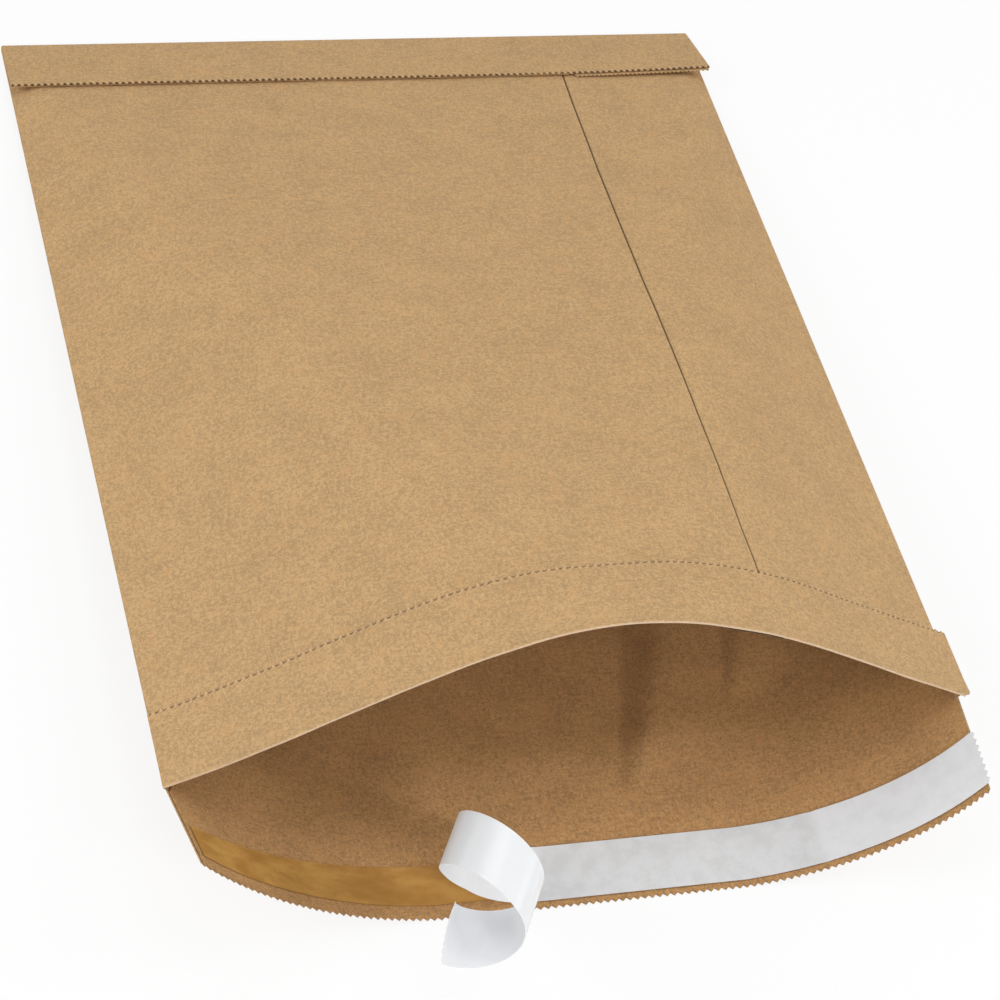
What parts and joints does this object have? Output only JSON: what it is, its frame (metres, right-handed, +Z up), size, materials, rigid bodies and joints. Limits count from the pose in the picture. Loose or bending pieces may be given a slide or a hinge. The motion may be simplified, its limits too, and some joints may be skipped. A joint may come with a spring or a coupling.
{
  "type": "padded envelope",
  "caption": "Kraft padded mailing envelope lying with its mouth open: folded hem, turned cuff, pinked flap, adhesive strip and a release liner that peels and curls.",
  "frame": {"origin": "middle of the footprint, on the surface that the envelope lies on", "axes": "+Y along the envelope towards its closed foot, so the open mouth and the flap are at -Y; +X to the right seen from the mouth; +Z up"},
  "size_m": [0.3632, 0.5892, 0.1114],
  "materials": {
    "wrapper_kraft": "matte",
    "padding_fibre": "matte",
    "lining_kraft": "matte",
    "adhesive": "satin",
    "liner_paper": "satin"
  },
  "bodies": {
    "root": {"outer_wrapper": "wrapper_kraft", "padding": "padding_fibre", "inner_lining": "lining_kraft", "adhesive_strip": "adhesive", "release_liner": "liner_paper"}
  },
  "joints": []
}
